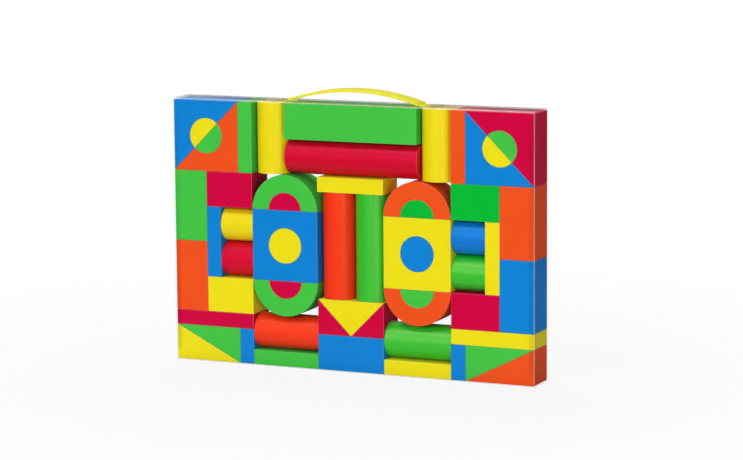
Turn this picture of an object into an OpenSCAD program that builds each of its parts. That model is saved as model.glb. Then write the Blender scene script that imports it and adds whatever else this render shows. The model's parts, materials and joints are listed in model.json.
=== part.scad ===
// Foam building blocks packed one block deep in a clear folded carry case with a strap handle.
// Millimetres, +Z up. The origin is the middle of the case's underside, and the front faces -Y.

/* [Blocks] */
// Width of a block: the module of the pack, also every block's depth and a roller's diameter
block_w = 35; // [28:0.5:45]
// Thickness of a slab
slab_t = 15; // [8:0.5:24]
// Diameter of the discs that fill the ring blocks, arches and corner squares
disc_d = 35; // [20:0.5:50]
// Gap between neighbouring blocks, and between a disc and its hole
fit_gap = 0.2; // [0.1:0.05:0.6]

/* [Case] */
// Thickness of the clear sheet
sheet_t = 0.3; // [0.2:0.05:0.6]
// Outer radius of the sheet's folds
fold_r = 1; // [0.8:0.1:2.5]
// Gap between the blocks and each end flap
end_gap = 0.7; // [0.3:0.1:3]
// Gap between the blocks and the front panel, where the tuck lips go
front_gap = 1.1; // [0.9:0.05:3]
// Gap between the blocks' lower and back edges and the inside of a fold
edge_gap = 0.1; // [0.05:0.05:0.5]

/* [End flaps] */
// Gap between a flap's ends and the folds above and below it
flap_gap = 1; // [0.3:0.1:3]
// Gap along a crease and beside a tuck lip
crease_gap = 0.15; // [0.1:0.05:0.4]
// How far a tuck lip stops short of its flap's ends
lip_inset = 9; // [3:0.5:30]
// Corner radius of a tuck lip
lip_corner_r = 4; // [1:0.5:5]

/* [Handle] */
// Width of the strap
strap_w = 20; // [12:0.5:24]
// Thickness of the strap's ends, which pass through the slots
strap_t = 0.8; // [0.5:0.1:1.5]
// Thickness of the strap's grip, between the slots
grip_t = 2.4; // [1.6:0.1:4]
// Distance between the places where the strap passes the top panel
strap_span = 145; // [100:1:180]
// Rise of the strap's arch above the top panel
strap_rise = 12.5; // [8:0.5:30]
// Length of the strap's flat end under the top panel
tab_len = 9; // [8:0.5:20]
// Length of the wide head at the strap's tip
head_len = 5; // [2:0.5:8]
// Width of the wide head at the strap's tip
head_w = 27; // [21:0.5:32]
// Gap above and below the strap's ends
tab_gap = 0.15; // [0.1:0.05:0.5]
// Gap between the strap and the edges of its slot
slot_gap = 0.3; // [0.2:0.05:1]

/* [Hidden] */
$fn = 96;

// Foam colours, and the strap's and sheet's colours
foam_blue = "#1685d1";
foam_green = "#4bc448";
foam_deep_green = "#0eb83d";
foam_orange = "#f25725";
foam_yellow = "#edde1c";
foam_red = "#cf0d43";
strap_yellow = "#e8dc28";
sheet_clear = [0.86, 0.92, 0.95, 0.25];

// Grid lines: n blocks, and n blocks and one slab
function units(n) = n * block_w;
function units_slab(n) = n * block_w + slab_t;

// The pack of blocks, measured out from its centre line and up from its foot
pack_half = units_slab(5);
pack_h = units_slab(7);
head_gap = strap_t + 2 * tab_gap;

// The case around the pack: a square edge needs this much room beside a round fold
fold_room = (fold_r - sheet_t) * (1 - cos(45)) + edge_gap;
case_w = 2 * (pack_half + end_gap + sheet_t);
case_d = block_w + front_gap + fold_room + 2 * sheet_t;
case_h = pack_h + fold_room + head_gap + 2 * sheet_t;
pack_foot = sheet_t + fold_room;
pack_back = case_d / 2 - sheet_t - fold_room;
pack_mid = pack_back - block_w / 2;

// End flap: its crease is at the end of the back panel's bend, on the outer face
crease_x = case_w / 2;
crease_y = case_d / 2 - fold_r;
flap_foot = fold_r + flap_gap;
flap_h = case_h - 2 * flap_foot;
lip_r = crease_y + case_d / 2 - sheet_t - crease_gap;
lip_sag = front_gap - sheet_t - 2 * crease_gap;
lip_reach = sqrt(pow(lip_r, 2) - pow(lip_r - lip_sag, 2));
lip_round = min(lip_corner_r, lip_reach - fold_r);

// Strap: an arch between the slots, then a bend down to the flat end under the top panel.
// The thick grip stops where its underside would meet the panel
arch_z = case_h - sheet_t / 2;
arch_r = (pow(strap_span / 2, 2) + pow(strap_rise, 2)) / (2 * strap_rise);
arch_angle = 2 * atan2(strap_rise, strap_span / 2);
arch_mid_z = arch_z + strap_rise - arch_r;
grip_angle = acos((case_h + tab_gap - arch_mid_z) / (arch_r - grip_t / 2));
tab_z = case_h - sheet_t - tab_gap - strap_t / 2;
bend_r = (arch_z - tab_z) / (1 - cos(arch_angle));
bend_run = bend_r * sin(arch_angle);
strap_reach = (strap_t / cos(arch_angle) + sheet_t) / 2 / tan(arch_angle);
slot_in = strap_span / 2 - strap_reach - slot_gap;
bend_top_r = bend_r - strap_t / 2;
slot_out = strap_span / 2 + bend_run - bend_top_r * sin(acos(1 - tab_gap / bend_top_r)) + slot_gap;

// A size larger than the whole case, for cutting
beyond = 2 * case_w;

// Mirrors what is drawn for the right half to the left half
module on_left() {
  mirror([1, 0, 0]) children();
}

// Square-edged block between two grid lines across and two up
module brick(across, up) {
  size_x = across[1] - across[0] - fit_gap;
  size_z = up[1] - up[0] - fit_gap;
  translate([across[0] + fit_gap / 2, pack_back - block_w, pack_foot + up[0] + fit_gap / 2])
    cube([size_x, block_w, size_z]);
}

// Cylinder that lies along X
module roller(across, up) {
  translate([across[0] + fit_gap / 2, pack_mid, pack_foot + (up[0] + up[1]) / 2])
    rotate([0, 90, 0])
      cylinder(d = block_w - fit_gap, h = across[1] - across[0] - fit_gap);
}

// Cylinder that stands upright
module post(across, up) {
  translate([(across[0] + across[1]) / 2, pack_mid, pack_foot + up[0] + fit_gap / 2])
    cylinder(d = block_w - fit_gap, h = up[1] - up[0] - fit_gap);
}

// Gives a flat outline, drawn across and up from the pack's foot, the depth of a block
module die_cut() {
  translate([0, pack_back, pack_foot])
    rotate([90, 0, 0])
      linear_extrude(height = block_w)
        children();
}

// Outline of a grid cell, less half the gap all round
module cell(across, up) {
  translate([across[0] + fit_gap / 2, up[0] + fit_gap / 2])
    square([across[1] - across[0] - fit_gap, up[1] - up[0] - fit_gap]);
}

// Everything to the left of a line from one point towards another, less half the gap
module left_of(from, to) {
  translate(from)
    rotate(atan2(to[1] - from[1], to[0] - from[0]))
      translate([-beyond, fit_gap / 2])
        square([2 * beyond, beyond]);
}

// Corner square at the top right: its grid lines, its middle and the ends of its diagonal
corner_across = [units_slab(3), units_slab(5)];
corner_up = [units_slab(5), units_slab(7)];
corner_mid = [units_slab(4), units_slab(6)];
corner_top = [corner_across[0], corner_up[1]];
corner_foot = [corner_across[1], corner_up[0]];

module corner_triangle(from, to) {
  die_cut()
    difference() {
      intersection() {
        cell(corner_across, corner_up);
        left_of(from, to);
      }
      translate(corner_mid)
        circle(d = disc_d);
    }
}

module corner_half_disc(from, to) {
  die_cut()
    intersection() {
      translate(corner_mid)
        circle(d = disc_d - fit_gap);
      left_of(from, to);
    }
}

module outer_corner_triangle() corner_triangle(corner_top, corner_foot);
module inner_corner_triangle() corner_triangle(corner_foot, corner_top);
module outer_corner_half_disc() corner_half_disc(corner_top, corner_foot);
module inner_corner_half_disc() corner_half_disc(corner_foot, corner_top);

// Ramp pair at the foot of the right column, cut along a rising diagonal
ramp_across = [units_slab(3), units_slab(5)];
ramp_up = [0, units(1)];
ramp_foot = [ramp_across[0], ramp_up[0]];
ramp_top = [ramp_across[1], ramp_up[1]];

module ramp(from, to) {
  die_cut()
    intersection() {
      cell(ramp_across, ramp_up);
      left_of(from, to);
    }
}

module upper_ramp() ramp(ramp_foot, ramp_top);
module lower_ramp() ramp(ramp_top, ramp_foot);

// Right tower: a ring block between an arch and an upturned arch
tower_across = [units(1), units(3)];
tower_mid = units(2);
tower_w = tower_across[1] - tower_across[0];
ring_up = [units_slab(2), units_slab(4)];

module ring_block() {
  die_cut()
    difference() {
      cell(tower_across, ring_up);
      translate([tower_mid, units_slab(3)])
        circle(d = disc_d);
    }
}

module ring_disc() {
  die_cut()
    translate([tower_mid, units_slab(3)])
      circle(d = disc_d - fit_gap);
}

// Half of a round outline, above or below a level on the tower's middle line
module half_round(d, level, above) {
  start = [above ? 0 : tower_mid, level];
  end = [above ? tower_mid : 0, level];
  intersection() {
    translate([tower_mid, level])
      circle(d = d);
    left_of(start, end);
  }
}

module arch(level, above) {
  die_cut()
    difference() {
      half_round(tower_w - fit_gap, level, above);
      translate([tower_mid, level])
        circle(d = disc_d);
    }
}

module arch_half_disc(level, above) {
  die_cut()
    half_round(disc_d - fit_gap, level, above);
}

module upper_arch() arch(ring_up[1], true);
module lower_arch() arch(ring_up[0], false);
module upper_arch_half_disc() arch_half_disc(ring_up[1], true);
module lower_arch_half_disc() arch_half_disc(ring_up[0], false);

// Blocks of the right half that the left half repeats in other colours
module top_slab() brick([units(3), units_slab(3)], [units_slab(5), units_slab(7)]);
module top_post() post([units(2), units(3)], [units_slab(5), units_slab(7)]);
module upper_tall_block() brick([units_slab(4), units_slab(5)], [units_slab(3), units_slab(5)]);
module lower_tall_block() brick([units_slab(4), units_slab(5)], [units_slab(1), units_slab(3)]);
module upper_brick() brick([units(3), units_slab(4)], [units_slab(4), units_slab(5)]);
module lower_brick() brick([units(3), units_slab(4)], [units_slab(1), units_slab(2)]);
module upright_slab() brick([units(4), units_slab(4)], [units_slab(2), units_slab(4)]);
module upper_short_roller() roller([units(3), units(4)], [units_slab(3), units_slab(4)]);
module lower_short_roller() roller([units(3), units(4)], [units_slab(2), units_slab(3)]);
module shelf_slab() brick([units(3), units_slab(5)], [units(1), units_slab(1)]);
module spacer_slab() brick([units(3), units_slab(3)], [0, units(1)]);
module base_slab() brick(tower_across, [0, slab_t]);
module tower_roller() roller(tower_across, [slab_t, units_slab(1)]);

// Small triangle beside the inverted one, and the inverted one itself
wedge_foot = [0, units(1)];
wedge_top = [units(1), units(2)];

module centre_wedge() {
  die_cut()
    intersection() {
      cell([0, units(1)], [units(1), units(2)]);
      left_of(wedge_top, wedge_foot);
    }
}

module inverted_triangle() {
  die_cut()
    intersection() {
      cell([-units(1), units(1)], [units(1), units(2)]);
      left_of(wedge_foot, wedge_top);
      mirror([1, 0])
        left_of(wedge_foot, wedge_top);
    }
}

// Section of the sleeve, in depth and height: a tube with round folds
module rounded_rect(size, r) {
  translate([-size[0] / 2 + r, 0])
    square([size[0] - 2 * r, size[1]]);
  translate([-size[0] / 2, r])
    square([size[0], size[1] - 2 * r]);
  for (side = [-1, 1], level = [r, size[1] - r])
    translate([side * (size[0] / 2 - r), level])
      circle(r = r);
}

module sleeve_section() {
  difference() {
    rounded_rect([case_d, case_h], fold_r);
    translate([0, sheet_t])
      rounded_rect([case_d - 2 * sheet_t, case_h - 2 * sheet_t], fold_r - sheet_t);
  }
}

// The sleeve between two heights
module sleeve_band(low, high) {
  translate([-case_w / 2, 0, 0])
    rotate([90, 0, 90])
      linear_extrude(height = case_w)
        intersection() {
          sleeve_section();
          translate([-case_d, low])
            square([2 * case_d, high - low]);
        }
}

module sleeve_front() {
  color(sheet_clear)
    translate([-case_w / 2, -case_d / 2, fold_r])
      cube([case_w, sheet_t, case_h - 2 * fold_r]);
}

module strap_slot() {
  translate([slot_in, -strap_w / 2 - slot_gap, case_h - 2 * sheet_t])
    cube([slot_out - slot_in, strap_w + 2 * slot_gap, 3 * sheet_t]);
}

module sleeve_top() {
  color(sheet_clear)
    difference() {
      sleeve_band(case_h - fold_r, case_h);
      strap_slot();
      on_left() strap_slot();
    }
}

// Quarter bend at the right end of the back panel, which carries the flap's crease
module back_bend() {
  translate([crease_x - fold_r, crease_y, flap_foot])
    rotate_extrude(angle = 90)
      translate([fold_r - sheet_t, 0])
        square([sheet_t, flap_h]);
}

module sleeve_back() {
  color(sheet_clear) {
    translate([-case_w / 2 + fold_r, case_d / 2 - sheet_t, fold_r])
      cube([case_w - 2 * fold_r, sheet_t, case_h - 2 * fold_r]);
    back_bend();
    on_left() back_bend();
  }
}

module sleeve_bottom() {
  color(sheet_clear) sleeve_band(0, fold_r);
}

// Section of a flap, in X and Y from its crease: panel, fold and tuck lip.
// The lip lies on an arc about the crease, so it slides out past the front panel
module flap_section() {
  difference() {
    union() {
      translate([-fold_r, -lip_r + fold_r])
        circle(r = fold_r);
      translate([-fold_r, -lip_r + fold_r])
        square([fold_r, lip_r - fold_r - crease_gap]);
      intersection() {
        circle(r = lip_r, $fn = 2 * $fn);
        translate([-lip_reach, -lip_r])
          square([lip_reach - fold_r, lip_r]);
      }
    }
    translate([-fold_r, -lip_r + fold_r])
      circle(r = fold_r - sheet_t);
    translate([-fold_r - sheet_t, -lip_r + fold_r])
      square([fold_r, lip_r]);
    intersection() {
      circle(r = lip_r - sheet_t, $fn = 2 * $fn);
      translate([-2 * lip_reach, -lip_r])
        square([2 * lip_reach - fold_r, lip_r]);
    }
  }
}

// Front view of a flap: full height at the end, less at the lip, with round corners
module lip_outline() {
  lip_low = flap_foot + lip_inset;
  lip_high = flap_foot + flap_h - lip_inset;
  translate([-fold_r, flap_foot])
    square([2 * fold_r, flap_h]);
  translate([-lip_reach, lip_low + lip_round])
    square([lip_reach, lip_high - lip_low - 2 * lip_round]);
  translate([-lip_reach + lip_round, lip_low])
    square([lip_reach - lip_round, lip_high - lip_low]);
  for (level = [lip_low + lip_round, lip_high - lip_round])
    translate([-lip_reach + lip_round, level])
      circle(r = lip_round);
}

module end_flap() {
  color(sheet_clear)
    translate([crease_x, crease_y, 0])
      intersection() {
        linear_extrude(height = case_h)
          flap_section();
        rotate([90, 0, 0])
          linear_extrude(height = case_d)
            lip_outline();
      }
}

module left_end_flap() on_left() end_flap();
module right_end_flap() end_flap();

// Ring band of a thickness between two angles, about its own centre
module strap_arc(r, thick, from, to) {
  far = r + thick;
  intersection() {
    difference() {
      circle(r = r + thick / 2, $fn = 4 * $fn);
      circle(r = r - thick / 2, $fn = 4 * $fn);
    }
    polygon([[0, 0], 2 * far * [cos(from), sin(from)], 2 * far * [cos(to), sin(to)]]);
  }
}

// Joins two lengths of the strap inside, where they meet end to end
module strap_joint() {
  square([strap_t, strap_t / 2], center = true);
}

// Side view of the strap, in X and height
module strap_section() {
  translate([0, arch_mid_z]) {
    strap_arc(arch_r, grip_t, 90 - grip_angle, 90 + grip_angle);
    strap_arc(arch_r, strap_t, 90 - arch_angle, 90 + arch_angle);
  }
  for (side = [0, 1])
    mirror([side, 0]) {
      translate([strap_span / 2, arch_z])
        rotate(-arch_angle)
          strap_joint();
      translate([strap_span / 2 + bend_run, tab_z + bend_r])
        strap_arc(bend_r, strap_t, 270 - arch_angle, 270);
      translate([strap_span / 2 + bend_run, tab_z])
        strap_joint();
      translate([strap_span / 2 + bend_run, tab_z - strap_t / 2])
        square([tab_len, strap_t]);
    }
}

module strap_head() {
  translate([strap_span / 2 + bend_run + tab_len - head_len, -head_w / 2, tab_z - strap_t / 2])
    cube([head_len, head_w, strap_t]);
}

module handle_strap() {
  color(strap_yellow) {
    translate([0, strap_w / 2, 0])
      rotate([90, 0, 0])
        linear_extrude(height = strap_w)
          strap_section();
    strap_head();
    on_left() strap_head();
  }
}

// Top band
module blue_corner_triangle_left() color(foam_blue) on_left() outer_corner_triangle();
module orange_corner_triangle() color(foam_orange) on_left() inner_corner_triangle();
module red_corner_triangle() color(foam_red) outer_corner_triangle();
module blue_corner_triangle_right() color(foam_blue) inner_corner_triangle();
module yellow_corner_half_discs() {
  color(foam_yellow) {
    on_left() outer_corner_half_disc();
    inner_corner_half_disc();
  }
}
module green_corner_half_discs() {
  color(foam_green) {
    on_left() inner_corner_half_disc();
    outer_corner_half_disc();
  }
}
module green_top_slab() color(foam_green) on_left() top_slab();
module orange_top_slab() color(foam_orange) top_slab();
module yellow_posts() {
  color(foam_yellow) {
    top_post();
    on_left() top_post();
  }
}
module green_long_bar() color(foam_green) brick([-units(2), units(2)], [units_slab(6), units_slab(7)]);
module red_long_roller() color(foam_red) roller([-units(2), units(2)], [units_slab(5), units_slab(6)]);

// Left column
module green_tall_block() color(foam_green) on_left() upper_tall_block();
module orange_tall_block_left() color(foam_orange) on_left() lower_tall_block();
module red_brick_left() color(foam_red) on_left() upper_brick();
module blue_upright_slab() color(foam_blue) on_left() upright_slab();
module yellow_short_roller() color(foam_yellow) on_left() upper_short_roller();
module red_short_roller() color(foam_red) on_left() lower_short_roller();
module yellow_brick() color(foam_yellow) on_left() lower_brick();
module red_shelf_slab() color(foam_red) on_left() shelf_slab();
module yellow_ramp() color(foam_yellow) on_left() lower_ramp();
module green_ramp_left() color(foam_green) on_left() upper_ramp();
module blue_spacer_slabs() {
  color(foam_blue) {
    spacer_slab();
    on_left() spacer_slab();
  }
}

// Left tower
module green_base_slab() color(foam_green) on_left() base_slab();
module orange_roller() color(foam_orange) on_left() tower_roller();
module green_lower_arch() color(foam_green) on_left() lower_arch();
module red_half_discs() {
  color(foam_red)
    on_left() {
      upper_arch_half_disc();
      lower_arch_half_disc();
    }
}
module blue_ring_block() color(foam_blue) on_left() ring_block();
module yellow_disc() color(foam_yellow) on_left() ring_disc();
module green_upper_arch() color(foam_green) on_left() upper_arch();

// Centre
module blue_centre_brick() color(foam_blue) brick([-units(1), units(1)], [0, units(1)]);
module yellow_centre_triangle() color(foam_yellow) inverted_triangle();
module red_centre_triangles() {
  color(foam_red) {
    centre_wedge();
    on_left() centre_wedge();
  }
}
module orange_column() color(foam_orange) post([-units(1), 0], [units(2), units(5)]);
module green_column() color(foam_green) post([0, units(1)], [units(2), units(5)]);
module yellow_lintel() color(foam_yellow) brick([-units(1), units(1)], [units(5), units_slab(5)]);

// Right tower
module yellow_base_slab() color(foam_yellow) base_slab();
module green_roller() color(foam_green) tower_roller();
module orange_lower_arch() color(foam_orange) lower_arch();
module green_half_disc() color(foam_green) lower_arch_half_disc();
module yellow_ring_block() color(foam_yellow) ring_block();
module blue_disc() color(foam_blue) ring_disc();
module orange_upper_arch() color(foam_orange) upper_arch();
module deep_green_half_disc() color(foam_deep_green) upper_arch_half_disc();

// Right column
module green_ramp_right() color(foam_green) upper_ramp();
module orange_ramp() color(foam_orange) lower_ramp();
module yellow_shelf_slab() color(foam_yellow) shelf_slab();
module red_brick_right() color(foam_red) lower_brick();
module blue_short_roller() color(foam_blue) upper_short_roller();
module green_short_roller() color(foam_green) lower_short_roller();
module yellow_upright_slab() color(foam_yellow) upright_slab();
module green_brick() color(foam_deep_green) upper_brick();
module blue_tall_block() color(foam_blue) lower_tall_block();
module orange_tall_block_right() color(foam_orange) upper_tall_block();

sleeve_front();
sleeve_top();
sleeve_back();
sleeve_bottom();
left_end_flap();
right_end_flap();
handle_strap();
blue_corner_triangle_left();
orange_corner_triangle();
red_corner_triangle();
blue_corner_triangle_right();
yellow_corner_half_discs();
green_corner_half_discs();
green_top_slab();
orange_top_slab();
yellow_posts();
green_long_bar();
red_long_roller();
green_tall_block();
orange_tall_block_left();
red_brick_left();
blue_upright_slab();
yellow_short_roller();
red_short_roller();
yellow_brick();
red_shelf_slab();
yellow_ramp();
green_ramp_left();
blue_spacer_slabs();
green_base_slab();
orange_roller();
green_lower_arch();
red_half_discs();
blue_ring_block();
yellow_disc();
green_upper_arch();
blue_centre_brick();
yellow_centre_triangle();
red_centre_triangles();
orange_column();
green_column();
yellow_lintel();
yellow_base_slab();
green_roller();
orange_lower_arch();
green_half_disc();
yellow_ring_block();
blue_disc();
orange_upper_arch();
deep_green_half_disc();
green_ramp_right();
orange_ramp();
yellow_shelf_slab();
red_brick_right();
blue_short_roller();
green_short_roller();
yellow_upright_slab();
green_brick();
blue_tall_block();
orange_tall_block_right();
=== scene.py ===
# %% [markdown]
# # A foam block set in a clear carry case
# The set is a wall of die-cut foam blocks, one block deep, in a case folded from clear sheet with
# a strap to carry it by. The imported model already gives each piece its place and its joints.
# This lesson dresses that model: foam that looks cut from a sheet, a case that is one folded sheet
# again, and a strap moulded to arch over the top. All lengths are in metres.

import json
from math import acos, atan2, cos, radians, sin, tan

import bmesh
import bpy
from mathutils import Matrix, Vector


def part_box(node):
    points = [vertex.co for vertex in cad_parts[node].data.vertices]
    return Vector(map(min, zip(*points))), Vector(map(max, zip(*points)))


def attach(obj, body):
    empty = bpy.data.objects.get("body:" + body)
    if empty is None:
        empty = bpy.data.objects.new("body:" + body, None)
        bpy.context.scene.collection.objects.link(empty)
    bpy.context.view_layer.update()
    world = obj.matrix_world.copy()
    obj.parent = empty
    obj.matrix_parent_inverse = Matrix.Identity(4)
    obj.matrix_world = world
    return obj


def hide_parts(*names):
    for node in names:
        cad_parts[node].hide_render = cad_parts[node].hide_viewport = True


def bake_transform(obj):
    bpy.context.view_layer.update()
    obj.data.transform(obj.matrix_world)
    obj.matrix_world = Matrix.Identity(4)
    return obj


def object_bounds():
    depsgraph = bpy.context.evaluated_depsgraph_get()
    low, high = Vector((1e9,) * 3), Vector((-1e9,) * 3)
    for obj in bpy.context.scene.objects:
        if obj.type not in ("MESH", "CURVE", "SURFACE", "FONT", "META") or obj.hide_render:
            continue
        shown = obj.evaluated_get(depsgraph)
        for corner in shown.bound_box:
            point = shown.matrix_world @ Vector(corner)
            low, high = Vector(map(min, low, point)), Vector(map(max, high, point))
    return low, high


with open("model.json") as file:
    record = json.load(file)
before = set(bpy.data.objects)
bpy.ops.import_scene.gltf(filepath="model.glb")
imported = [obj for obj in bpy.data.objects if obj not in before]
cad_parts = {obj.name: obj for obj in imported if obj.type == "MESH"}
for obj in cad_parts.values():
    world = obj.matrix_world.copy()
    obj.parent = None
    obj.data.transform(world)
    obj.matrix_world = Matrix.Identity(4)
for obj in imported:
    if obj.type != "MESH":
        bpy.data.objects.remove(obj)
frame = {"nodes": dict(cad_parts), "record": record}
cad_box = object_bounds()
scene = bpy.context.scene
MM = 0.001
print("CAD box:", [round(edge, 4) for edge in cad_box[1] - cad_box[0]])

# %% [markdown]
# ## The camera
# The photograph looks at the case from the right and a little above, through a long lens. The
# angles, the distance and the focal length come from fitting a pinhole camera to 25 corners of
# the case and of the blocks. A rotation about Z turns the camera round the case, one about its own
# X tips it down, and one about its own Z rolls it, so the three are multiplied in that order.

# %% Place the camera
PHOTO_W = 743
FOCAL_PX = 2893
SENSOR_MM = 36
CAMERA_PLACE = Vector((1.144, -2.532, 0.559))
YAW, PITCH, ROLL = radians(24.03), radians(8.62), radians(-0.42)

camera = bpy.data.objects.new("camera", bpy.data.cameras.new("camera"))
scene.collection.objects.link(camera)
camera.data.sensor_width = SENSOR_MM
camera.data.lens = SENSOR_MM * FOCAL_PX / PHOTO_W
camera.matrix_world = (
    Matrix.Translation(CAMERA_PLACE)
    @ Matrix.Rotation(YAW, 4, "Z")
    @ Matrix.Rotation(radians(90) - PITCH, 4, "X")
    @ Matrix.Rotation(ROLL, 4, "Z")
)
scene.camera = camera
scene.view_settings.view_transform = "Standard"
print("lens:", round(camera.data.lens, 1), "mm")

# %% [markdown]
# ## Nodes without clutter
# A material here is a tree of nodes. Writing three lines for every node hides the idea, so one
# helper adds a node, sets its options, and either links or sets each of its inputs by name. Some
# nodes have several inputs of one name, so an input can go by its number too, as in _0.


# %% A helper for shader nodes
def add_node(tree, kind, options=None, **inputs):
    """Adds a node. An input given a socket is linked to it, and any other value is set."""
    node = tree.nodes.new("ShaderNode" + kind)
    for option, value in (options or {}).items():
        setattr(node, option, value)
    for name, value in inputs.items():
        socket = node.inputs[int(name[1:]) if name[1:].isdigit() else name.replace("_", " ")]
        if isinstance(value, bpy.types.NodeSocket):
            tree.links.new(value, socket)
        else:
            socket.default_value = value
    return node


def new_finish(name):
    """A new material with its node tree, and the output node that its shader goes to."""
    finish = bpy.data.materials.new(name)
    finish.use_nodes = True
    return finish, finish.node_tree, finish.node_tree.nodes["Material Output"]


print("node helper ready")

# %% [markdown]
# ## Studio
# The set stands on a white table in soft light. The key lamp stands in front, above the case and
# far away, so that it lights the front evenly. A cylinder mirrors a lamp as a line along its
# length, so two small lamps draw the lines seen on the foam: one high on the left for the rollers,
# which lie down, and a low one on the right for the columns, which stand up. That one is weak, so
# the right end of the case stays in half shade. A lamp above and behind lights the top faces and
# shines through the strap. Two cards help: one on the table throws light up at the bottom row, and
# a pale one far behind on the left is there for the top panel to mirror. The camera sees neither
# lamps nor cards.
#
# The table should be white right up to the horizon, but lit that brightly it would bleach the
# foam. So it glows only for the camera's own rays, which the Light Path node tells apart, and less
# near the set, where its shadow falls. A photographer would hang black cloth where the case
# mirrors the room, to keep the clear sheet clear. Here the walls are dark, and the table is grey
# to everything but the camera and kept out of reflections.


# %% Lamps
def soft_lamp(name, place, aim, size, watts):
    """A soft box of a width and height at a place, turned to face a point."""
    lamp = bpy.data.lights.new(name, "AREA")
    lamp.shape = "RECTANGLE"
    lamp.size, lamp.size_y = size
    lamp.energy = watts
    obj = bpy.data.objects.new(name, lamp)
    obj.visible_camera = False
    scene.collection.objects.link(obj)
    towards = Vector(aim) - Vector(place)
    turn = towards.to_track_quat("-Z", "Y").to_matrix().to_4x4()
    obj.matrix_world = Matrix.Translation(place) @ turn


MIDDLE = (cad_box[0] + cad_box[1]) / 2
CARD_MIDDLE = (0, -0.124, 0.002)
ABOVE_CARD = (0, -0.124, 1)

soft_lamp("key_lamp", (0, -4.0, 1.43), MIDDLE, (2.1, 1.05), 80)
soft_lamp("strip_lamp", (-1.0, -2.15, 3.45), MIDDLE, (1.45, 0.48), 35)
soft_lamp("edge_lamp", (2.2, -2.45, 0.24), MIDDLE, (0.55, 0.4), 21)
soft_lamp("back_lamp", (-0.5, 1.0, 2.3), MIDDLE, (1.2, 1.2), 42)
soft_lamp("bounce_card", CARD_MIDDLE, ABOVE_CARD, (0.6, 0.2), 0.13)
soft_lamp("pale_card", (-2.4, 2.5, 0.75), MIDDLE, (1.8, 0.9), 1.6)

# %% Room
WALL_LIGHT = 0.08
CEILING_LIGHT = 0.45
# Heights of a direction of length 1: 0 points at the horizon, and 1 straight up.
WALL_TOP = 0.1
CEILING_EDGE = 0.5

world = bpy.data.worlds.new("studio")
world.use_nodes = True
tree = world.node_tree
height = add_node(tree, "SeparateXYZ", Vector=add_node(tree, "TexCoord").outputs["Generated"])
room = add_node(
    tree, "MapRange", {"interpolation_type": "SMOOTHSTEP"}, Value=height.outputs["Z"],
    From_Min=WALL_TOP, From_Max=CEILING_EDGE, To_Min=WALL_LIGHT, To_Max=CEILING_LIGHT,
)
tree.nodes["Background"].inputs["Color"].default_value = (1, 1, 1, 1)
tree.links.new(room.outputs[0], tree.nodes["Background"].inputs["Strength"])
scene.world = world
print("light of the walls:", WALL_LIGHT, "ceiling:", CEILING_LIGHT)

# %% Table
TABLE_HALF = 40.0
SHADOW_REACH = 0.25
WHITE_FROM = 0.7
GLOW_NEAR = 0.88
PAPER_GREY = (0.55, 0.55, 0.55, 1)

table_finish, tree, out = new_finish("white_table")
place = add_node(tree, "TexCoord").outputs["Object"]
away = add_node(tree, "VectorMath", {"operation": "LENGTH"}, _0=place)
glow_share = add_node(
    tree, "MapRange", {"interpolation_type": "SMOOTHSTEP"}, Value=away.outputs["Value"],
    From_Min=SHADOW_REACH, From_Max=WHITE_FROM, To_Min=GLOW_NEAR, To_Max=1.0,
)
camera_ray = add_node(tree, "LightPath").outputs["Is Camera Ray"]
share = add_node(tree, "Math", {"operation": "MULTIPLY"}, _0=camera_ray, _1=glow_share.outputs[0])
paper = add_node(tree, "BsdfDiffuse", Color=PAPER_GREY)
glow = add_node(tree, "Emission", Color=(1, 1, 1, 1), Strength=1.0)
top = add_node(tree, "MixShader", _0=share.outputs[0], _1=paper.outputs[0], _2=glow.outputs[0])
tree.links.new(top.outputs[0], out.inputs["Surface"])

cloth = bmesh.new()
bmesh.ops.create_grid(cloth, x_segments=1, y_segments=1, size=TABLE_HALF)
table_mesh = bpy.data.meshes.new("table")
cloth.to_mesh(table_mesh)
cloth.free()
table = bpy.data.objects.new("table", table_mesh)
scene.collection.objects.link(table)
table.data.materials.append(table_finish)
table.visible_glossy = False
print("table:", 2 * TABLE_HALF, "m square")

# %% [markdown]
# ## Foam
# The blocks are cut from sheets of closed-cell foam. Close up the surface is a carpet of tiny
# cells, from further away it is softly mottled, and along a cut edge the colour is a little paler.
# An image could hold that, but it would stretch round the rollers. Procedural textures on Object
# coordinates have the same size on every block, so three of them are layered instead: cells for
# the bump, a fine grain for the roughness and a broad cloud for the colour. In the photograph the
# rollers, posts and columns are smoother than the flat blocks, so a colour that comes in both gets
# two finishes. Their colours differ as painted light: the flat copy is paler, with a painted haze
# of reflected light, and the round copy deeper, a lit and a shaded copy of one foam. The sheen is
# tinted too, as foam has no clear coat, and on the green foam it is tinted yellow, a painted
# reflection of the yellow blocks beside it.


# %% Foam finish
def linear(red, green, blue):
    """A colour as a picture editor gives it, from 0 to 255, as Blender's linear values."""
    shares = [level / 255 for level in (red, green, blue)]
    return [s / 12.92 if s <= 0.04045 else ((s + 0.055) / 1.055) ** 2.4 for s in shares]


CELLS_PER_M = 2400
CELL_DEPTH = 0.06 * MM
CELL_BUMP = 0.25
GRAIN_PER_M = 650
CLOUD_PER_M = 38
CLOUD_SHADE = 0.93
CUT_PALER = 0.05
SHEEN_POWER = 0.4


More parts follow.
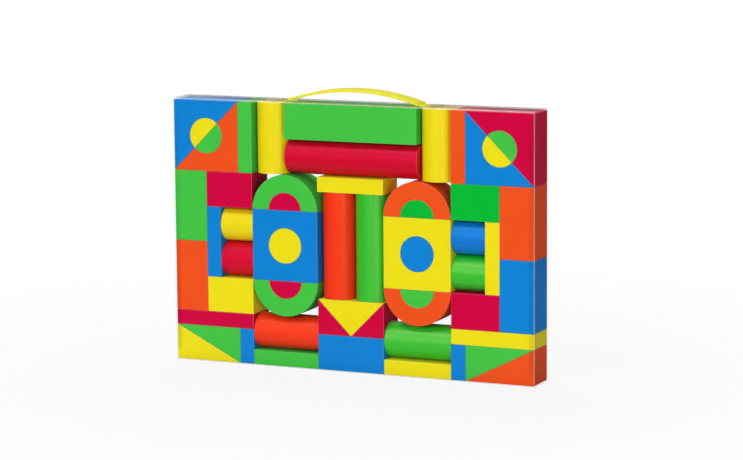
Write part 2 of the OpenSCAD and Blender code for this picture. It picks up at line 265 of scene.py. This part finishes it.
def foam_finish(name, colour, sheen, ior, smoothest, roughest):
    """Closed-cell foam of one colour and gloss, with paler cut edges."""
    finish, tree, _ = new_finish(name)
    shader = tree.nodes["Principled BSDF"]
    place = add_node(tree, "TexCoord").outputs["Object"]
    dark = [level * CLOUD_SHADE for level in colour] + [1]
    pale = [level + CUT_PALER * (1 - level) for level in colour] + [1]

    cloud = add_node(tree, "TexNoise", Vector=place, Scale=CLOUD_PER_M, Detail=2.0)
    body = add_node(
        tree, "Mix", {"data_type": "RGBA"}, _0=cloud.outputs["Fac"], _6=dark, _7=list(colour) + [1]
    )
    cut = add_node(tree, "Attribute", {"attribute_name": "cut_edge"})
    edged = add_node(
        tree, "Mix", {"data_type": "RGBA"}, _0=cut.outputs["Fac"], _6=body.outputs[2], _7=pale
    )
    tree.links.new(edged.outputs[2], shader.inputs["Base Color"])

    grain = add_node(tree, "TexNoise", Vector=place, Scale=GRAIN_PER_M, Detail=3.0)
    rough = add_node(
        tree, "MapRange", Value=grain.outputs["Fac"], To_Min=smoothest, To_Max=roughest
    )
    tree.links.new(rough.outputs[0], shader.inputs["Roughness"])
    shader.inputs["IOR"].default_value = ior
    shader.inputs["Specular Tint"].default_value = [level**SHEEN_POWER for level in sheen] + [1]

    cells = add_node(tree, "TexVoronoi", Vector=place, Scale=CELLS_PER_M)
    bump = add_node(
        tree, "Bump", Strength=CELL_BUMP, Distance=CELL_DEPTH, Height=cells.outputs["Distance"]
    )
    tree.links.new(bump.outputs[0], shader.inputs["Normal"])
    return finish


print("foam cells:", 1 / CELLS_PER_M, "m apart")

# %% Foam colours
# Painted light: the flat copies are paler, with a painted haze of reflected light, and the round
# copies below are deeper, a lit and a shaded copy of each foam.
FLAT_FOAM_PAINTED_HAZE = {
    "foam_blue": linear(15, 124, 202),
    "foam_green": linear(62, 186, 64),
    "foam_deep_green": linear(8, 176, 51),
    "foam_orange": linear(230, 78, 27),
    "foam_yellow": linear(228, 212, 23),
    "foam_red": linear(199, 5, 60),
}
# The shaded copies: painted deeper than the flat ones.
ROUND_FOAM_PAINTED_DEEP = {
    "foam_blue": linear(6, 113, 206),
    "foam_green": linear(20, 186, 34),
    "foam_orange": linear(241, 44, 13),
    "foam_yellow": linear(233, 212, 9),
    "foam_red": linear(206, 2, 33),
}
# Each sheen tint follows its foam's colour, except green's, which is yellow: a painted reflection
# of the yellow blocks beside the green ones.
SHEEN_AND_PAINTED_REFLECTION = {**FLAT_FOAM_PAINTED_HAZE, "foam_green": linear(235, 240, 115)}
# How strongly light bounces off, as an index of refraction, and the range of roughness.
FLAT_GLOSS = (1.22, 0.5, 0.62)
ROUND_GLOSS = (1.8, 0.36, 0.46)

flat_finishes = {
    slot: foam_finish(slot, colour, SHEEN_AND_PAINTED_REFLECTION[slot], *FLAT_GLOSS) for slot, colour in FLAT_FOAM_PAINTED_HAZE.items()
}
round_finishes = {
    slot: foam_finish(slot + "_round", colour, SHEEN_AND_PAINTED_REFLECTION[slot], *ROUND_GLOSS)
    for slot, colour in ROUND_FOAM_PAINTED_DEEP.items()
}
print("flat foams:", len(flat_finishes), "round foams:", len(round_finishes))

# %% [markdown]
# ## Blocks
# A cutting die leaves foam with a crisp but not sharp edge. Each block starts as a copy of its CAD
# node. That mesh is loose triangles, so its doubles are merged and its flat faces dissolved before
# the sharp edges are bevelled: bevelling loose triangles would only open them up. The new faces
# along the edges are marked with an attribute, which the foam finish reads to make them paler.
# Weighted normals keep the large faces flat while the narrow rounded edges shade smoothly.

# %% Cut the blocks
EDGE_ROUND = 0.45 * MM
EDGE_STEPS = 3
MERGE = 0.002 * MM
FLAT_ANGLE = radians(1)
SHARP_ANGLE = radians(25)
ROUND_NAMES = ("roller", "post", "column")


def finish_piece(name, bm, finish):
    """Turns a bmesh into a smooth-shaded object with one finish."""
    for face in bm.faces:
        face.smooth = True
    mesh = bpy.data.meshes.new(name)
    bm.to_mesh(mesh)
    bm.free()
    piece = bpy.data.objects.new(name, mesh)
    scene.collection.objects.link(piece)
    piece.data.materials.append(finish)
    return piece


def even_shade(piece):
    """Keeps the large faces flat where narrow round edges meet them."""
    shade = piece.modifiers.new("even_shade", "WEIGHTED_NORMAL")
    shade.keep_sharp = True


def foam_block(node, finish):
    """The CAD block with the small round edge that a die leaves."""
    bm = bmesh.new()
    bm.from_mesh(frame["nodes"][node].data)
    cut_edge = bm.faces.layers.float.new("cut_edge")
    bmesh.ops.remove_doubles(bm, verts=bm.verts, dist=MERGE)
    bmesh.ops.dissolve_limit(bm, angle_limit=FLAT_ANGLE, verts=bm.verts, edges=bm.edges)
    sharp = [edge for edge in bm.edges if edge.calc_face_angle(0) > SHARP_ANGLE]
    rounded = bmesh.ops.bevel(
        bm, geom=sharp, offset=EDGE_ROUND, offset_type="OFFSET", affect="EDGES",
        segments=EDGE_STEPS, profile=0.5, material=-1, clamp_overlap=True,
    )
    for face in rounded["faces"]:
        face[cut_edge] = 1
    block = finish_piece("foam_" + node, bm, finish)
    even_shade(block)
    return block


slots = {part["node"]: part["material_slot"] for part in frame["record"]["subparts"]}
blocks = []
for node, slot in slots.items():
    if slot in flat_finishes:
        rolled = any(word in node for word in ROUND_NAMES)
        finishes = round_finishes if rolled else flat_finishes
        block = foam_block(node, finishes[slot])
        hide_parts(node)
        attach(block, "case")
        blocks.append(block)
print("blocks:", len(blocks), "faces:", sum(len(block.data.polygons) for block in blocks))

# %% [markdown]
# ## Clear sheet
# The case is thin clear plastic. Light goes straight through it, except at a low angle, where it
# mirrors what is around it: look at the top panel, which shows the strap. Full glass would bend
# light in a sheet this thin for no gain, so the finish mixes a transparent shader and a glossy one
# by the angle of view. Two bumps tilt what it mirrors: a bow, since a panel bulges a little between
# its folds, and a faint wave. A ray that only asks whether a lamp reaches a block goes straight
# through: mirroring would stop the light that comes in low over the table. A folded crease goes
# milky white, partly the real whitening of bent plastic and partly a painted highlight: the long
# folds get more of it, to draw the bright line along the top front fold. The finish finds the
# creases from how far a point lies from the case's own edges.

# %% Measure the case
case_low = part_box("sleeve_bottom")[0]
case_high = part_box("sleeve_top")[1]
front_low, front_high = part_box("sleeve_front")
flap_low, flap_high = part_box("right_end_flap")
sheet_t = front_high.y - front_low.y
fold_r = front_low.z - case_low.z
case_size = case_high - case_low
case_middle = (case_low + case_high) / 2
print("case:", [round(edge, 4) for edge in case_size])
print("sheet:", round(sheet_t, 5), "fold:", round(fold_r, 5))


# %% Clear sheet finish
SHEET_TINT = (0.99, 0.994, 0.994, 1)
SHEET_ROUGHNESS = 0.05
MIRROR_POWER = 8.0
MIRROR_AHEAD = 0.003
MIRROR_GRAZING = 0.9
BOW = 2.2 * MM
WAVES_PER_M = 16.0
WAVE_DEPTH = 1.2 * MM
WAVE_BUMP = 0.12
# The axes across the long folds, then across the upright ones, each with its share of milkiness.
# The milky share is partly real whitening and partly painted highlight, larger on the long folds to
# draw the top front fold's bright line.
CREASE_MILK_AND_HIGHLIGHT = [((0, 1, 1), 0.25), ((1, 1, 0), 0.1)]
MILK_AND_HIGHLIGHT_WHITE = (0.95, 0.95, 0.95, 1)
MILK_STARTS = 1.1 * fold_r
MILK_FULL = 0.4 * fold_r


def clear_sheet_finish(name):
    """Thin clear plastic with milky creases, partly a painted highlight, and panels that bow and
    wave a little.
    """
    finish, tree, out = new_finish(name)
    tree.nodes.remove(tree.nodes["Principled BSDF"])
    place = add_node(tree, "TexCoord").outputs["Object"]

    from_middle = add_node(tree, "VectorMath", {"operation": "SUBTRACT"}, _0=place, _1=case_middle)
    depth = add_node(tree, "SeparateXYZ", Vector=from_middle.outputs[0]).outputs["Y"]
    drop = add_node(tree, "Math", {"operation": "MULTIPLY"}, _0=depth, _1=depth)
    bow = add_node(
        tree, "Bump", {"invert": True}, Strength=1.0, Distance=BOW / (case_size.y / 2) ** 2,
        Height=drop.outputs[0],
    )
    wave = add_node(tree, "TexNoise", Vector=place, Scale=WAVES_PER_M, Detail=1.0)
    bump = add_node(
        tree, "Bump", Strength=WAVE_BUMP, Distance=WAVE_DEPTH, Height=wave.outputs["Fac"],
        Normal=bow.outputs[0],
    )

    facing = add_node(tree, "LayerWeight", Blend=0.5).outputs["Facing"]
    steep = add_node(tree, "Math", {"operation": "POWER"}, _0=facing, _1=MIRROR_POWER)
    mirror = add_node(
        tree, "MapRange", Value=steep.outputs[0], To_Min=MIRROR_AHEAD, To_Max=MIRROR_GRAZING
    )
    lit = add_node(tree, "LightPath").outputs["Is Shadow Ray"]
    seen = add_node(tree, "Math", {"operation": "SUBTRACT"}, _0=1.0, _1=lit)
    shine = add_node(
        tree, "Math", {"operation": "MULTIPLY"}, _0=mirror.outputs[0], _1=seen.outputs[0]
    )
    through = add_node(tree, "BsdfTransparent", Color=SHEET_TINT)
    gloss = add_node(
        tree, "BsdfGlossy", Color=(1, 1, 1, 1), Roughness=SHEET_ROUGHNESS, Normal=bump.outputs[0]
    )
    clear = add_node(
        tree, "MixShader", _0=shine.outputs[0], _1=through.outputs[0], _2=gloss.outputs[0]
    )

    spread = add_node(tree, "VectorMath", {"operation": "ABSOLUTE"}, _0=from_middle.outputs[0])
    past = add_node(
        tree, "VectorMath", {"operation": "SUBTRACT"}, _0=spread.outputs[0], _1=case_size / 2
    )
    milky = []
    for across, share in CREASE_MILK_AND_HIGHLIGHT:
        apart = add_node(
            tree, "VectorMath", {"operation": "MULTIPLY"}, _0=past.outputs[0], _1=across
        )
        near = add_node(tree, "VectorMath", {"operation": "LENGTH"}, _0=apart.outputs[0])
        milky.append(add_node(
            tree, "MapRange", {"interpolation_type": "SMOOTHSTEP"}, Value=near.outputs["Value"],
            From_Min=MILK_STARTS, From_Max=MILK_FULL, To_Min=0.0, To_Max=share,
        ))
    most = add_node(
        tree, "Math", {"operation": "MAXIMUM"}, _0=milky[0].outputs[0], _1=milky[1].outputs[0]
    )
    crease = add_node(tree, "BsdfDiffuse", Color=MILK_AND_HIGHLIGHT_WHITE)
    whole = add_node(
        tree, "MixShader", _0=most.outputs[0], _1=clear.outputs[0], _2=crease.outputs[0]
    )
    tree.links.new(whole.outputs[0], out.inputs["Surface"])
    return finish


clear_sheet = clear_sheet_finish("clear_sheet")
print("clear sheet:", len(clear_sheet.node_tree.nodes), "nodes")

# %% [markdown]
# ## Strap
# The strap is one moulded strip. Its thick grip arches over the top panel. Its thin ends dip
# through two slots and lie flat under the panel, where a wide head stops them from pulling out.
# The outline is a row of arcs, so a small rounded section is spun about the centre of each arc in
# turn: it is thinned where the grip ends, pushed straight for the flat end and widened for the
# head. Only the right half is made, and then mirrored.

# %% Strap sizes
strap_low, strap_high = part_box("handle_strap")
STRAP_W = 20 * MM
STRAP_T = 0.8 * MM
GRIP_T = 2.4 * MM
STRAP_SPAN = 145 * MM
STRAP_RISE = 12.5 * MM
TAB_LEN = 9 * MM
HEAD_LEN = 5 * MM
TAB_GAP = 0.15 * MM
SLOT_GAP = 0.3 * MM

head_w = strap_high.y - strap_low.y
arch_z = strap_high.z - GRIP_T / 2 - STRAP_RISE
tab_z = strap_low.z + STRAP_T / 2
arch_r = ((STRAP_SPAN / 2) ** 2 + STRAP_RISE**2) / (2 * STRAP_RISE)
arch_angle = 2 * atan2(STRAP_RISE, STRAP_SPAN / 2)
arch_mid = Vector((0, 0, arch_z + STRAP_RISE - arch_r))
grip_angle = acos((case_high.z + TAB_GAP - arch_mid.z) / (arch_r - GRIP_T / 2))
bend_r = (arch_z - tab_z) / (1 - cos(arch_angle))
bend_x = STRAP_SPAN / 2 + bend_r * sin(arch_angle)
print("arch radius:", round(arch_r, 4), "bend radius:", round(bend_r, 4))

# %% Strap finish
STRAP_DEEP = linear(246, 232, 24) + [1]
STRAP_PALE = linear(252, 246, 70) + [1]
STREAKS_PER_M = (60, 900, 60)
STREAK_BUMP = 0.2
STREAK_DEPTH = 0.05 * MM
STRAP_SMOOTHEST = 0.24
STRAP_ROUGHEST = 0.4
STRAP_GLOSS = 0.3
LIGHT_THROUGH = 0.45

strap_yellow, tree, out = new_finish("strap_yellow")
shader = tree.nodes["Principled BSDF"]
place = add_node(tree, "TexCoord").outputs["Object"]
stretched = add_node(tree, "Mapping", Vector=place, Scale=STREAKS_PER_M)
streaks = add_node(tree, "TexNoise", Vector=stretched.outputs[0], Scale=1.0, Detail=3.0)
tint = add_node(
    tree, "Mix", {"data_type": "RGBA"}, _0=streaks.outputs["Fac"], _6=STRAP_DEEP, _7=STRAP_PALE
)
tree.links.new(tint.outputs[2], shader.inputs["Base Color"])
polish = add_node(
    tree, "MapRange", Value=streaks.outputs["Fac"], To_Min=STRAP_SMOOTHEST, To_Max=STRAP_ROUGHEST
)
tree.links.new(polish.outputs[0], shader.inputs["Roughness"])
shader.inputs["Specular IOR Level"].default_value = STRAP_GLOSS
ridges = add_node(
    tree, "Bump", Strength=STREAK_BUMP, Distance=STREAK_DEPTH, Height=streaks.outputs["Fac"]
)
tree.links.new(ridges.outputs[0], shader.inputs["Normal"])
through = add_node(tree, "BsdfTranslucent", Color=tint.outputs[2])
soft = add_node(
    tree, "MixShader", _0=LIGHT_THROUGH, _1=shader.outputs[0], _2=through.outputs[0]
)
tree.links.new(soft.outputs[0], out.inputs["Surface"])
print("strap finish:", len(tree.nodes), "nodes")

# %% Mould the strap
GRIP_STEPS = 40
END_STEPS = 4
BEND_STEPS = 8
CORNER_R = 0.7 * MM
CORNER_STEPS = 4

strip = bmesh.new()
bmesh.ops.create_grid(strip, x_segments=1, y_segments=1, size=0.5)
bmesh.ops.scale(strip, vec=(GRIP_T, STRAP_W, 1), verts=strip.verts)
bmesh.ops.bevel(
    strip, geom=strip.verts[:], offset=CORNER_R, offset_type="OFFSET", affect="VERTICES",
    segments=CORNER_STEPS, profile=0.5, material=-1,
)
bmesh.ops.delete(strip, geom=strip.faces[:], context="FACES_ONLY")
upright = Matrix.Rotation(radians(90), 3, "Y")
bmesh.ops.rotate(strip, cent=(0, 0, 0), matrix=upright, verts=strip.verts)
bmesh.ops.translate(strip, vec=(0, 0, arch_z + STRAP_RISE), verts=strip.verts)


def loop_of(result):
    """The edges of the loop that an operator made last."""
    return [part for part in result if isinstance(part, bmesh.types.BMEdge)]


def push(loop, move=0.0, stretch=(1, 1, 1), space=Matrix()):
    """Extends a loop of edges by a move along X, and stretches its new end in its own space."""
    made = bmesh.ops.extrude_edge_only(strip, edges=loop)["geom"]
    corners = [part for part in made if isinstance(part, bmesh.types.BMVert)]
    bmesh.ops.translate(strip, vec=(move, 0, 0), verts=corners)
    bmesh.ops.scale(strip, vec=stretch, space=space, verts=corners)
    return [
        part for part in made
        if isinstance(part, bmesh.types.BMEdge) and all(corner in corners for corner in part.verts)
    ]


turned = bmesh.ops.spin(
    strip, geom=strip.edges[:], cent=arch_mid, axis=(0, 1, 0), angle=grip_angle, steps=GRIP_STEPS
)
grip_end = (
    Matrix.Translation((0, 0, -arch_r)) @ Matrix.Rotation(-grip_angle, 4, "Y")
    @ Matrix.Translation(-arch_mid)
)
end = push(loop_of(turned["geom_last"]), stretch=(1, 1, STRAP_T / GRIP_T), space=grip_end)
turned = bmesh.ops.spin(
    strip, geom=end, cent=arch_mid, axis=(0, 1, 0), angle=arch_angle - grip_angle, steps=END_STEPS
)
turned = bmesh.ops.spin(
    strip, geom=loop_of(turned["geom_last"]), cent=(bend_x, 0, tab_z + bend_r), axis=(0, 1, 0),
    angle=-arch_angle, steps=BEND_STEPS,
)
end = push(loop_of(turned["geom_last"]), TAB_LEN - HEAD_LEN)
end = push(end, stretch=(1, head_w / STRAP_W, 1))
end = push(end, HEAD_LEN)
bmesh.ops.contextual_create(strip, geom=end)
half = strip.verts[:] + strip.edges[:] + strip.faces[:]
bmesh.ops.mirror(strip, geom=half, merge_dist=MERGE, axis="X")
bmesh.ops.remove_doubles(strip, verts=strip.verts, dist=MERGE)
bmesh.ops.recalc_face_normals(strip, faces=strip.faces)
strap = finish_piece("carry_strap", strip, strap_yellow)
even_shade(strap)
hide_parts("handle_strap")
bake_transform(strap)
print("strap faces:", len(strap.data.polygons))
print("strap box:", [round(edge, 4) for edge in strap.dimensions])

# %% [markdown]
# ## Sleeve
# On the real case the front, top, back and bottom are one sheet, folded four times and joined. The
# CAD model splits it at the creases, so here it becomes one piece again: a box without ends whose
# long edges are bevelled into folds. Planes cut it where the strap's slots and the ends of the
# back panel lie, the cut-out faces are deleted, and each end of the back panel is spun a quarter
# turn towards its flap. A Solidify modifier then gives the sheet its thickness, inwards.

# %% Fold the sleeve
FOLD_STEPS = 6
NEAR = 0.01 * MM

bend_top = bend_r - STRAP_T / 2
slot_reach = (STRAP_T / cos(arch_angle) + sheet_t) / 2 / tan(arch_angle)
slot_in = STRAP_SPAN / 2 - slot_reach - SLOT_GAP
slot_out = bend_x - bend_top * sin(acos(1 - TAB_GAP / bend_top)) + SLOT_GAP
slot_half = STRAP_W / 2 + SLOT_GAP
turn_x = case_size.x / 2 - fold_r
turn_y = case_size.y / 2 - fold_r

wrap = bmesh.new()
bmesh.ops.create_cube(wrap, size=1)
bmesh.ops.scale(wrap, vec=case_size, verts=wrap.verts)
bmesh.ops.translate(wrap, vec=case_middle, verts=wrap.verts)
ends = [face for face in wrap.faces if abs(face.normal.x) > 0.5]
bmesh.ops.delete(wrap, geom=ends, context="FACES_ONLY")
long_edges = [edge for edge in wrap.edges if edge.calc_length() > 0.9 * case_size.x]
bmesh.ops.bevel(
    wrap, geom=long_edges, offset=fold_r, offset_type="OFFSET", affect="EDGES",
    segments=FOLD_STEPS, profile=0.5, material=-1,
)


def slice_wrap(place, normal):
    """Cuts the sleeve's faces along a plane, and keeps both sides."""
    parts = wrap.verts[:] + wrap.edges[:] + wrap.faces[:]
    bmesh.ops.bisect_plane(wrap, geom=parts, plane_co=place, plane_no=normal, dist=NEAR)


for side in (-1, 1):
    for cut_x in (slot_in, slot_out, turn_x):
        slice_wrap((side * cut_x, 0, 0), (1, 0, 0))
    slice_wrap((0, side * slot_half, 0), (0, 1, 0))
for cut_z in (flap_low.z, flap_high.z):
    slice_wrap((0, 0, cut_z), (0, 0, 1))
print("sleeve faces:", len(wrap.faces), "slot:", round(slot_in, 4), "to", round(slot_out, 4))


# %% Open the slots and turn the back panel's ends
def in_slot(middle):
    """Whether a face's middle lies where one of the strap's slots is cut."""
    on_top = middle.z > case_high.z - NEAR
    return on_top and slot_in < abs(middle.x) < slot_out and abs(middle.y) < slot_half


def past_back(middle):
    """Whether a face's middle lies past an end of the back panel's flat part."""
    return middle.y > case_high.y - NEAR and abs(middle.x) > turn_x


cut_away = [
    face for face in wrap.faces
    if in_slot(face.calc_center_median()) or past_back(face.calc_center_median())
]
bmesh.ops.delete(wrap, geom=cut_away, context="FACES")
for side in (-1, 1):
    back_end = [
        edge for edge in wrap.edges
        if all(
            abs(corner.co.x - side * turn_x) < NEAR
            and corner.co.y > case_high.y - NEAR
            and flap_low.z - NEAR < corner.co.z < flap_high.z + NEAR
            for corner in edge.verts
        )
    ]
    bmesh.ops.spin(
        wrap, geom=back_end, cent=(side * turn_x, turn_y, 0), axis=(0, 0, -side),
        angle=radians(90), steps=FOLD_STEPS,
    )
bmesh.ops.remove_doubles(wrap, verts=wrap.verts, dist=MERGE)
bmesh.ops.recalc_face_normals(wrap, faces=wrap.faces)
sleeve = finish_piece("clear_sleeve", wrap, clear_sheet)
wall = sleeve.modifiers.new("sheet_thickness", "SOLIDIFY")
wall.thickness = sheet_t
wall.offset = -1
wall.use_even_offset = True
even_shade(sleeve)
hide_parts("sleeve_front", "sleeve_top", "sleeve_back", "sleeve_bottom")
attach(sleeve, "case")
top_faces = [face for face in sleeve.data.polygons if face.center.z > case_high.z - NEAR]
print("cut away:", len(cut_away), "top faces up:", all(face.normal.z > 0 for face in top_faces))

# %% [markdown]
# ## End flaps
# The two flaps keep their CAD shape, panel, fold and tuck lip, which is already right, and take
# the clear finish.

# %% Dress the flaps
for node in ("left_end_flap", "right_end_flap"):
    flap = frame["nodes"][node]
    flap.data.materials.clear()
    flap.data.materials.append(clear_sheet)
print("flaps dressed")
